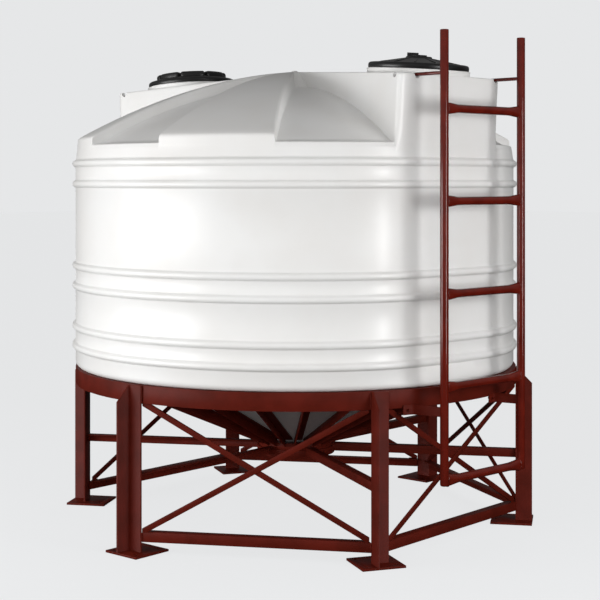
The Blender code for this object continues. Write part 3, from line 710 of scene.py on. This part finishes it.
def grips(name, count, first, sweep, inner, outer, low, high, round_off):
    """A ring of like blocks, each an arc drawn flat, extruded up and rounded.

    The first block starts at the angle `first` and runs on by `sweep`, both in degrees.
    """
    nothing_selected()
    bpy.ops.mesh.primitive_plane_add(size=0.001, location=(0.0, 0.0, 0.0))
    block = bpy.context.object
    block.name = name
    bpy.ops.object.mode_set(mode="EDIT")
    bpy.ops.mesh.merge(type="CENTER")
    bpy.ops.transform.translate(value=(inner, 0.0, low))
    bpy.ops.mesh.extrude_region_move(TRANSFORM_OT_translate={"value": (outer - inner, 0.0, 0.0)})
    bpy.ops.mesh.select_all(action="SELECT")
    bpy.ops.mesh.spin(steps=8, angle=math.radians(sweep), center=(0.0, 0.0, 0.0),
                      axis=(0.0, 0.0, 1.0))
    bpy.ops.mesh.select_all(action="SELECT")
    bpy.ops.mesh.extrude_region_move(TRANSFORM_OT_translate={"value": (0.0, 0.0, high - low)})
    bpy.ops.mesh.select_all(action="SELECT")
    bpy.ops.mesh.normals_make_consistent(inside=False)
    bpy.ops.object.mode_set(mode="OBJECT")
    rounded = block.modifiers.new("rounded", "BEVEL")
    rounded.width = round_off
    rounded.segments = 4
    rounded.angle_limit = math.radians(40.0)
    bpy.ops.object.modifier_apply(modifier="rounded")
    blocks = [block]
    for number in range(count):
        if number:
            copy = block.copy()
            copy.data = block.data.copy()
            bpy.context.scene.collection.objects.link(copy)
            blocks.append(copy)
        blocks[number].rotation_euler.z = math.radians(first) + 2.0 * math.pi * number / count
    nothing_selected()
    for copy in blocks:
        copy.select_set(True)
    bpy.context.view_layer.objects.active = block
    bpy.ops.object.transform_apply(location=True, rotation=True, scale=True)
    bpy.ops.object.join()
    return block


def joined(first, *others):
    """Joins pieces into the first."""
    nothing_selected()
    for piece in (first, *others):
        piece.select_set(True)
    bpy.context.view_layer.objects.active = first
    bpy.ops.object.join()
    return first


front_lid = turned_piece("front_lid", FRONT_LID, ROUND_STEPS, (0.0, 0.0, 0.0))
ribs = grips("lid_ribs", count=12, first=8.0, sweep=2.2, inner=RIB_INNER, outer=RIB_OUTER,
             low=0.044, high=0.0560, round_off=0.001)
for vertex in ribs.data.vertices:
    if vertex.co.z > RIB_TOP_FROM:
        inward = RIB_OUTER - math.hypot(vertex.co.x, vertex.co.y)
        vertex.co.z += RIB_RISE * inward / (RIB_OUTER - RIB_INNER)
hub = grips("lid_hub", count=1, first=-70.0, sweep=300.0, inner=0.012, outer=0.040,
            low=0.080, high=0.0925, round_off=0.002)
vent = grips("lid_vent", count=1, first=128.0, sweep=60.0, inner=0.006, outer=0.056,
             low=0.080, high=0.1030, round_off=0.002)
dressed_lid(joined(front_lid, ribs, hub, vent), False)

back_lid = turned_piece("back_lid", BACK_LID, ROUND_STEPS, (0.0, 0.0, 0.0))
humps = grips("lid_humps", count=8, first=28.5, sweep=41.0, inner=0.118, outer=0.188,
              low=0.050, high=0.0880, round_off=0.010)
dressed_lid(joined(back_lid, humps), True)


# The ring beam is hot rolled angle, bent round and welded, and the tank stands on its level leg.
# Like the whole stand it is sprayed with red oxide paint over edges that the mill left rounded.

EDGE_ROUND = 0.0012

# Red oxide paint is a dull brown red with a weak sheen, paler where it mirrors a lamp. It drifts
# in tone over some 110 mm, and its spray drops are drawn at 3 mm, coarser than real, to show.
red_oxide, tree, shader = new_material("red oxide paint on steel")
shader.inputs["Roughness"].default_value = 0.42
shader.inputs["Specular IOR Level"].default_value = 0.07
where = add_node(tree, "ShaderNodeTexCoord").outputs["Object"]
coat = add_node(tree, "ShaderNodeTexNoise", {"Vector": where, "Scale": 9.0, "Detail": 8.0})
tone = add_node(tree, "ShaderNodeValToRGB", {"Fac": coat.outputs["Fac"]})
tone.color_ramp.elements[0].position = 0.36
tone.color_ramp.elements[0].color = linear("#4F170E")
tone.color_ramp.elements[1].position = 0.66
tone.color_ramp.elements[1].color = linear("#5D1C13")
tree.links.new(tone.outputs["Color"], shader.inputs["Base Color"])
drops = add_node(tree, "ShaderNodeTexNoise", {"Vector": where, "Scale": 380.0, "Detail": 3.0})
bump = add_node(tree, "ShaderNodeBump", {"Height": drops.outputs["Fac"], "Strength": 0.10,
                                         "Distance": 0.0004})
tree.links.new(bump.outputs["Normal"], shader.inputs["Normal"])


def taken(name, node):
    """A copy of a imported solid, merged and cleaned, to be worked on."""
    nothing_selected()
    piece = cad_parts[node].copy()
    piece.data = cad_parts[node].data.copy()
    piece.name = name
    bpy.context.scene.collection.objects.link(piece)
    piece.select_set(True)
    bpy.context.view_layer.objects.active = piece
    bpy.ops.object.mode_set(mode="EDIT")
    bpy.ops.mesh.select_all(action="SELECT")
    bpy.ops.mesh.remove_doubles(threshold=0.00005)
    bpy.ops.mesh.select_all(action="SELECT")
    bpy.ops.mesh.dissolve_limited(angle_limit=math.radians(2.0))
    bpy.ops.mesh.select_all(action="SELECT")
    bpy.ops.mesh.normals_make_consistent(inside=False)
    bpy.ops.object.mode_set(mode="OBJECT")
    return piece


def mill_edges(piece):
    """Rounds the edges of a steel piece as the rolling mill leaves them."""
    nothing_selected()
    piece.select_set(True)
    bpy.context.view_layer.objects.active = piece
    edge = piece.modifiers.new("mill edge", "BEVEL")
    edge.width = EDGE_ROUND
    edge.segments = 2
    edge.limit_method = "ANGLE"
    edge.angle_limit = math.radians(40.0)
    edge.harden_normals = False
    bpy.ops.object.modifier_apply(modifier="mill edge")
    smooth_by_angle(piece, 35.0)
    return piece


dressed(mill_edges(taken("ring", "ring_beam")), red_oxide, ("ring_beam",))


# Level beams run in from the legs to a small ring under the outlet, and sloping angle spokes
# with a small ring of their own carry the cone. All of it is welded steel in the same paint.

for node in ("star_beams", "cone_cradle"):
    dressed(mill_edges(taken("dressed_" + node, node)), red_oxide, (node,))


# Six legs of rolled angle are welded to the ring's outer face, each on a flat plate that stands
# on the floor. The plates are cut from bar and drilled at their corners for four anchor bolts.

LEG_NAMES = ("front_right", "right", "back_right", "back_left", "left", "front_left")
FIRST_LEG_TURN = math.radians(-55.2)
FOOT_DISTANCE = 1.082
ANCHOR_SPACING = 0.140
ANCHOR_HOLE = 0.006
PLATE_MIDDLE = 0.005
DRILL_DEPTH = 0.03


def stand_point(number, distance, offset, height):
    """Point by a leg's own place: outwards from the axis, sideways along the ring, and up."""
    turn = FIRST_LEG_TURN + math.pi / 3.0 * number
    return Vector((distance * math.cos(turn) - offset * math.sin(turn),
                   AXIS_Y + distance * math.sin(turn) + offset * math.cos(turn), height))


def drill(piece, place, radius, rotation=(0.0, 0.0, 0.0)):
    """Cuts a round hole through a piece, upright unless it is turned."""
    nothing_selected()
    bpy.ops.mesh.primitive_cylinder_add(vertices=24, radius=radius, depth=DRILL_DEPTH,
                                        location=place, rotation=rotation)
    combined(piece, bpy.context.object, "DIFFERENCE")


for number, name in enumerate(LEG_NAMES):
    leg = taken("dressed_leg_" + name, "leg_" + name)
    for out in (-ANCHOR_SPACING / 2.0, ANCHOR_SPACING / 2.0):
        for offset in (-ANCHOR_SPACING / 2.0, ANCHOR_SPACING / 2.0):
            hole = stand_point(number, FOOT_DISTANCE + out, offset, PLATE_MIDDLE)
            drill(leg, hole, ANCHOR_HOLE)
    dressed(mill_edges(leg), red_oxide, ("leg_" + name,))


# Between the legs, except on the open side, run a level tie of rolled angle and two crossed
# braces of flat bar, lapped where they meet. They are cut to length and welded to the legs.

BAYS = ("front_right", "right", "back_right", "left", "front_left")
for bay in BAYS:
    for node in ("tie_" + bay, "brace_" + bay + "_outer", "brace_" + bay + "_inner"):
        dressed(mill_edges(taken("dressed_" + node, node)), red_oxide, (node,))


# The ladder is welded from drawn steel tube and sprayed like the stand. Its two rails are closed
# at both ends, and stand side by side on bars from the ring.

# The same paint lies smoother on drawn tube, so that each tube carries a thin line of light. Its
# tone drifts over 70 mm, and the spray drops are drawn at 2 mm, coarser than real, to show.
tube_paint, tree, shader = new_material("red oxide paint on drawn tube")
shader.inputs["Roughness"].default_value = 0.14
shader.inputs["Specular IOR Level"].default_value = 0.42
where = add_node(tree, "ShaderNodeTexCoord").outputs["Object"]
coat = add_node(tree, "ShaderNodeTexNoise", {"Vector": where, "Scale": 14.0, "Detail": 6.0})
tone = add_node(tree, "ShaderNodeValToRGB", {"Fac": coat.outputs["Fac"]})
tone.color_ramp.elements[0].position = 0.36
tone.color_ramp.elements[0].color = linear("#551309")
tone.color_ramp.elements[1].position = 0.66
tone.color_ramp.elements[1].color = linear("#63190E")
tree.links.new(tone.outputs["Color"], shader.inputs["Base Color"])
drops = add_node(tree, "ShaderNodeTexNoise", {"Vector": where, "Scale": 420.0, "Detail": 2.0})
bump = add_node(tree, "ShaderNodeBump", {"Height": drops.outputs["Fac"], "Strength": 0.08,
                                         "Distance": 0.0003})
tree.links.new(bump.outputs["Normal"], shader.inputs["Normal"])

LADDER_Y = AXIS_Y - 1.206
RAIL_RADIUS = 0.019
RAIL_SECTION = ((0.0, 0.345), (0.0110, 0.345), (0.0155, 0.3462), (0.0180, 0.3495),
                (RAIL_RADIUS, 0.3545), (RAIL_RADIUS, 2.3190), (0.0184, 2.3214), (0.0170, 2.3227),
                (0.0150, 2.3230), (0.0, 2.3230))
for name, side in (("left", -1.0), ("right", 1.0)):
    rail = turned_piece("rail_" + name, RAIL_SECTION, 32, (side * HOOK_X, LADDER_Y, 0.0))
    smooth_by_angle(rail, 50.0)
    dressed(rail, tube_paint, ("ladder_rail_" + name,))


# Each of the five rungs is a tube pressed flat over its last 85 mm, so that its ends stand 51 mm
# high against the rails. They are cut square and welded all round.

RUNG_COUNT = 5
RUNG_TOP = 1.982
RUNG_STEP = 0.4035
RUNG_RADIUS = 0.0189
RUNG_END = (0.0125, 0.0255)
RUNG_SQUARENESS = 0.28
PRESSED_FROM = 0.004
PRESSED_LENGTH = 0.085
PRESSED_STEPS = 12
RUNG_HALF = HOOK_X - 0.0135
RUNG_SIDES = 32


def loft(name, rings):
    """A closed piece through rings of points, each ring with the same number of them."""
    shape = bmesh.new()
    rows = [[shape.verts.new(point) for point in ring] for ring in rings]
    shape.faces.new(rows[0])
    shape.faces.new(rows[-1])
    for before, after in zip(rows, rows[1:]):
        for number in range(len(before)):
            nearby = (number + 1) % len(before)
            shape.faces.new((before[number], before[nearby], after[nearby], after[number]))
    bmesh.ops.recalc_face_normals(shape, faces=shape.faces)
    mesh = bpy.data.meshes.new(name)
    shape.to_mesh(mesh)
    shape.free()
    piece = bpy.data.objects.new(name, mesh)
    bpy.context.scene.collection.objects.link(piece)
    return piece


def rung_ring(x, height):
    """Ring of a rung: round in the middle, a tall rounded oblong where it is pressed flat."""
    pressed = 1.0 - eased(RUNG_HALF - abs(x), PRESSED_FROM, PRESSED_LENGTH)
    deep = RUNG_RADIUS + (RUNG_END[0] - RUNG_RADIUS) * pressed
    tall = RUNG_RADIUS + (RUNG_END[1] - RUNG_RADIUS) * pressed
    power = 1.0 - RUNG_SQUARENESS * pressed
    points = []
    for step in range(RUNG_SIDES):
        turn = 2.0 * math.pi * step / RUNG_SIDES
        across, up = math.cos(turn), math.sin(turn)
        points.append(Vector((x, LADDER_Y + deep * math.copysign(abs(across) ** power, across),
                              height + tall * math.copysign(abs(up) ** power, up))))
    return points


rung_stops = [-RUNG_HALF + PRESSED_LENGTH * step / PRESSED_STEPS
              for step in range(PRESSED_STEPS + 1)]
rung_stops += [-stop for stop in reversed(rung_stops)]
for number in range(RUNG_COUNT):
    height = RUNG_TOP - RUNG_STEP * number
    rung = loft("rung_%d" % (number + 1), [rung_ring(x, height) for x in rung_stops])
    smooth_by_angle(rung, 40.0)
    dressed(rung, tube_paint, ("ladder_rung_%d" % (number + 1),))


# Two rods welded to the rails reach back into the notches of the front box and hold the ladder
# upright. They are plain round bar with rounded tips.

HOOK_RADIUS = 0.008
HOOK_TIP = AXIS_Y - 1.024
HOOK_SIDES = 20
HOOK_SUNK = 0.0045
HOOK_ROWS = ((0.0, 0.0030), (0.0010, 0.0056), (0.0030, 0.0074), (0.0055, 0.0080))
hook_length = HOOK_TIP - LADDER_Y - RAIL_RADIUS + HOOK_SUNK
for name, side in (("left", -1.0), ("right", 1.0)):
    rings = []
    for back, radius in HOOK_ROWS + ((hook_length, HOOK_RADIUS),):
        turns = [2.0 * math.pi * step / HOOK_SIDES for step in range(HOOK_SIDES)]
        rings.append([Vector((side * HOOK_X + radius * math.cos(turn), HOOK_TIP - back,
                              HOOK_HEIGHT + radius * math.sin(turn))) for turn in turns])
    hook = loft("hook_" + name, rings)
    smooth_by_angle(hook, 50.0)
    dressed(hook, tube_paint, ("ladder_hook_" + name,))


# A flat bar from each rail runs back to the ring, where it is bent into a tab that lies against
# the ring's face and is bolted to it through one hole. The bars are 5 mm thick.

BAR_LOW, BAR_HIGH = 0.643, 0.686
BAR_THICKNESS = 0.005
BAR_EDGE = 0.0012
BAR_HOLE = 0.0048
BAR_SUNK = 0.002
BEND_REACH = 0.008
BEND_STEPS = 6
BAR_SPLAY = 0.037
TAB_LENGTH = 0.049
TAB_DISTANCE = 1.103


def bar_ring(centre, across):
    """Section of a flat bar, standing on edge, at a point of its middle line."""
    half = BAR_THICKNESS / 2.0
    cut = ((half, 0.0), (half - 0.3 * BAR_EDGE, 0.7 * BAR_EDGE), (half - BAR_EDGE, BAR_EDGE))
    points = []
    for side, up in ((1.0, -1.0), (1.0, 1.0), (-1.0, 1.0), (-1.0, -1.0)):
        height = (BAR_HIGH if up > 0.0 else BAR_LOW) - up * BAR_EDGE
        for out, rise in (cut if side * up < 0.0 else reversed(cut)):
            place = centre + across * side * out
            points.append(Vector((place.x, place.y, height + up * rise)))
    return points


def on_ring(x):
    """Plan point of a tab's middle line against the ring, by its distance to the right."""
    return Vector((x, AXIS_Y - math.sqrt(TAB_DISTANCE ** 2 - x ** 2)))


for name, side in (("left", -1.0), ("right", 1.0)):
    rail_place = Vector((side * HOOK_X, LADDER_Y))
    bend = on_ring(rail_place.x - BAR_SPLAY)
    end = on_ring(bend.x - TAB_LENGTH)
    bar_way = (bend - rail_place).normalized()
    tab_way = (end - bend).normalized()
    start = rail_place + bar_way * (RAIL_RADIUS - BAR_SUNK)
    stops = [(start, Vector((bar_way.y, -bar_way.x)))]
    before, after = bend - bar_way * BEND_REACH, bend + tab_way * BEND_REACH
    for step in range(BEND_STEPS + 1):
        share = step / BEND_STEPS
        centre = before.lerp(bend, share).lerp(bend.lerp(after, share), share)
        way = bar_way.lerp(tab_way, share).normalized()
        stops.append((centre, Vector((way.y, -way.x))))
    stops.append((end, stops[-1][1]))
    bar = loft("bracket_" + name, [bar_ring(centre, across) for centre, across in stops])
    hole = bend.lerp(end, 0.5).to_3d() + Vector((0.0, 0.0, (BAR_LOW + BAR_HIGH) / 2.0))
    drill(bar, hole, BAR_HOLE, (math.pi / 2.0, 0.0, -math.atan2(tab_way.y, -tab_way.x)))
    smooth_by_angle(bar, 40.0)
    dressed(bar, red_oxide, ("ladder_bracket_" + name,))


# Weld beads run all round both ends of each rung, where it meets the rails. They are painted
# over with the ladder, and rippled like any bead laid by hand.

BEAD_RADIUS = 0.0034
BEAD_SIDES = 8
BEAD_END = 0.45
BEAD_SIDEWAYS = Vector((0.31, 0.52, 0.80))
RUNG_BEAD_HALF = (0.0132, 0.0262)
RUNG_BEAD_STEPS = 26
RUNG_BEAD_STANDOFF = 0.0012


def bead(name, points, radius):
    """A rippled round bead along a line of points, thinner at both ends."""
    rings = []
    last = len(points) - 1
    turns = [2.0 * math.pi * step / BEAD_SIDES for step in range(BEAD_SIDES)]
    for number, point in enumerate(points):
        along = (points[min(number + 1, last)] - points[max(number - 1, 0)]).normalized()
        side = along.cross(BEAD_SIDEWAYS).normalized()
        other = along.cross(side)
        ripple = 0.22 * math.sin(2.2 * number) + 0.10 * math.sin(5.1 * number + 1.0)
        size = radius * (1.0 + ripple) * (BEAD_END if number in (0, last) else 1.0)
        rings.append([point + (side * math.cos(turn) + other * math.sin(turn)) * size
                      for turn in turns])
    return loft(name, rings)


def dressed_beads(name, beads, material):
    """Joins beads into one piece of the stand or of the ladder."""
    piece = joined(beads[0], *beads[1:])
    piece.name = name
    smooth_by_angle(piece, 70.0)
    dressed(piece, material)


beads = []
for number in range(RUNG_COUNT):
    height = RUNG_TOP - RUNG_STEP * number
    for side in (-1.0, 1.0):
        line = []
        for step in range(RUNG_BEAD_STEPS):
            turn = 2.0 * math.pi * step / RUNG_BEAD_STEPS
            across = RUNG_BEAD_HALF[0] * math.cos(turn)
            away = math.sqrt(RAIL_RADIUS ** 2 - across ** 2) + RUNG_BEAD_STANDOFF
            line.append(Vector((side * (HOOK_X - away), LADDER_Y + across,
                                height + RUNG_BEAD_HALF[1] * math.sin(turn))))
        beads.append(bead("rung_bead", line + [line[0]], BEAD_RADIUS))
dressed_beads("ladder_weld_beads", beads, tube_paint)


# The stand's welds run down both sides of each leg on the ring, up the ends of the ties and
# along the feet of the braces. They are under the same paint.

BEAD_STEP = 0.0037
BEAD_OFFSETS = (0.0512, -0.0312)
RING_BEAD = (1.1020, 0.677)
TIE_BEAD_DISTANCES = (1.1012, 1.1036)
TIE_BEAD_LOW = 0.057
BRACE_BEAD_RISE = 0.0435
BRACE_BEAD_INSETS = (0.004, 0.056)
BAY_LEGS = (0, 1, 2, 4, 5)
UP = Vector((0.0, 0.0, 1.0))


def run(start, way, count):
    """Points of a straight bead from its start."""
    return [start + way * BEAD_STEP * step for step in range(count)]


beads = []
for number in range(len(LEG_NAMES)):
    for offset in BEAD_OFFSETS:
        start = stand_point(number, RING_BEAD[0], offset, RING_BEAD[1])
        beads.append(bead("leg_bead", run(start, UP, count=21), radius=0.0030))
for number in BAY_LEGS:
    near = stand_point(number, TIE_BEAD_DISTANCES[0], BEAD_OFFSETS[0], TIE_BEAD_LOW)
    far = stand_point(number + 1, TIE_BEAD_DISTANCES[1], BEAD_OFFSETS[1], TIE_BEAD_LOW)
    for foot in (near, far):
        beads.append(bead("tie_bead", run(foot, UP, count=12), radius=0.0028))
    along = (far - near).normalized()
    for place in (BRACE_BEAD_INSETS[0], (far - near).length - BRACE_BEAD_INSETS[1]):
        foot = near + along * place + UP * BRACE_BEAD_RISE
        beads.append(bead("brace_bead", run(foot, along, count=13), radius=0.0024))
dressed_beads("stand_weld_beads", beads, red_oxide)
